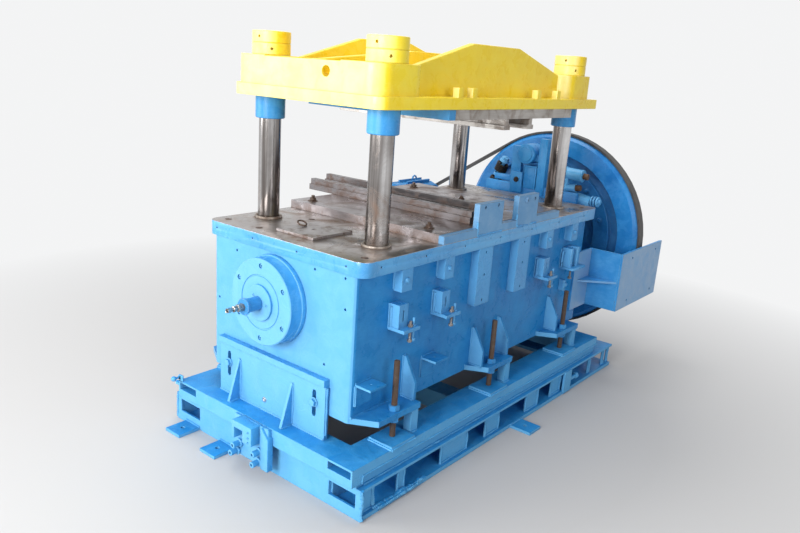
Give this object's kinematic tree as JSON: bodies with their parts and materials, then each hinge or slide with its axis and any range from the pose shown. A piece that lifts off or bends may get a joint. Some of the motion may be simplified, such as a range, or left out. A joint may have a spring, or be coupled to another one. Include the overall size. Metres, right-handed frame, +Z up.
{
  "type": "underdrive mechanical press",
  "caption": "Four-post underdrive crank press: a box bed on a floor frame holds the crankshaft, whose rods pull pillars and a ribbed upper platen down onto the bolster.",
  "frame": {"origin": "on the floor under the middle of the machine, midway between the four pillars, on the underside of the lower frame's middle tie", "axes": "+X along the crankshaft towards the flywheel, -Y towards the long side with the feed brackets, +Z up"},
  "size_m": [2.9003, 1.925, 1.8318],
  "materials": {
    "blue_paint": "brushed-on machine enamel over weld beads, half gloss",
    "worn_blue_paint": "thin enamel rubbed back to steel on the faces",
    "yellow_paint": "thick gloss enamel on cast iron",
    "worn_steel": "ground steel with brown stains",
    "plate_steel": "machined steel, dull",
    "pillar_steel": "ground and polished",
    "shaft_steel": "ground steel, oiled",
    "rusty_steel": "threaded steel, brown with rust",
    "cast_grey": "machined cast iron, oily",
    "belt_rubber": "matt black rubber",
    "fitting_chrome": "bright plated"
  },
  "bodies": {
    "frame": {"lower_base_frame": "blue_paint", "upper_base_frame": "blue_paint", "housing": "blue_paint", "front_support_plate": "blue_paint", "front_clamp_bracket": "blue_paint", "bed_plate": "worn_steel", "bolster_plate": "worn_steel", "loose_cover_plate": "worn_steel", "lower_die_rail_1": "worn_steel", "lower_die_rail_2": "worn_steel", "levelling_stud_1": "rusty_steel", "levelling_stud_2": "rusty_steel", "levelling_stud_3": "rusty_steel", "levelling_stud_4": "rusty_steel", "levelling_stud_5": "rusty_steel", "levelling_stud_6": "rusty_steel", "side_post_1": "blue_paint", "side_post_2": "blue_paint", "side_bar": "worn_blue_paint", "upper_side_bracket_1": "blue_paint", "upper_side_bracket_2": "blue_paint", "upper_side_bracket_3": "blue_paint", "upper_side_bracket_4": "blue_paint", "lower_side_bracket_1": "blue_paint", "lower_side_bracket_2": "blue_paint", "lower_side_bracket_3": "blue_paint", "lower_side_bracket_4": "blue_paint", "front_bearing_cover": "blue_paint", "rear_bearing_housing": "blue_paint", "brake_bracket": "blue_paint", "rear_box_bracket": "worn_blue_paint", "motor": "blue_paint", "motor_bracket": "blue_paint", "drive_belt": "belt_rubber", "guide_bushing_1": "pillar_steel", "guide_bushing_2": "pillar_steel", "guide_bushing_3": "pillar_steel", "guide_bushing_4": "pillar_steel"},
    "slide": {"upper_platen": "yellow_paint", "upper_die_plate": "plate_steel", "die_spacer": "blue_paint", "lower_crosshead": "cast_grey", "connecting_rod_1": "cast_grey", "connecting_rod_2": "cast_grey", "pillar_1": "pillar_steel", "pillar_2": "pillar_steel", "pillar_3": "pillar_steel", "pillar_4": "pillar_steel", "pillar_collar_1": "blue_paint", "pillar_collar_2": "blue_paint", "pillar_collar_3": "blue_paint", "pillar_collar_4": "blue_paint", "pillar_nut_1": "yellow_paint", "pillar_nut_2": "yellow_paint", "pillar_nut_3": "yellow_paint", "pillar_nut_4": "yellow_paint"},
    "crank": {"crankshaft": "shaft_steel", "shaft_fitting": "fitting_chrome"},
    "wheel": {"flywheel": "blue_paint"},
    "motor_rotor": {"motor_pulley": "cast_grey"}
  },
  "joints": [
    {"name": "slide_stroke", "type": "slide", "parent": "frame", "child": "slide", "axis": [0, 0, 1], "range_m": [-0.05, 0]},
    {"name": "crank_turn", "type": "hinge", "parent": "frame", "child": "crank", "pos_m": [0, 0, 0.75], "axis": [1, 0, 0], "range_deg": [0, 180]},
    {"name": "flywheel_spin", "type": "hinge", "parent": "frame", "child": "wheel", "pos_m": [1.335, 0, 0.75], "axis": [1, 0, 0], "continuous": true},
    {"name": "motor_spin", "type": "hinge", "parent": "frame", "child": "motor_rotor", "pos_m": [1, 0.98, 0.75], "axis": [1, 0, 0], "continuous": true}
  ],
  "couplings": [
    {"joint": "crank_turn", "follows": "slide_stroke", "rad_per_m": -62.832},
    {"joint": "motor_spin", "follows": "flywheel_spin", "ratio": 6.8222}
  ]
}
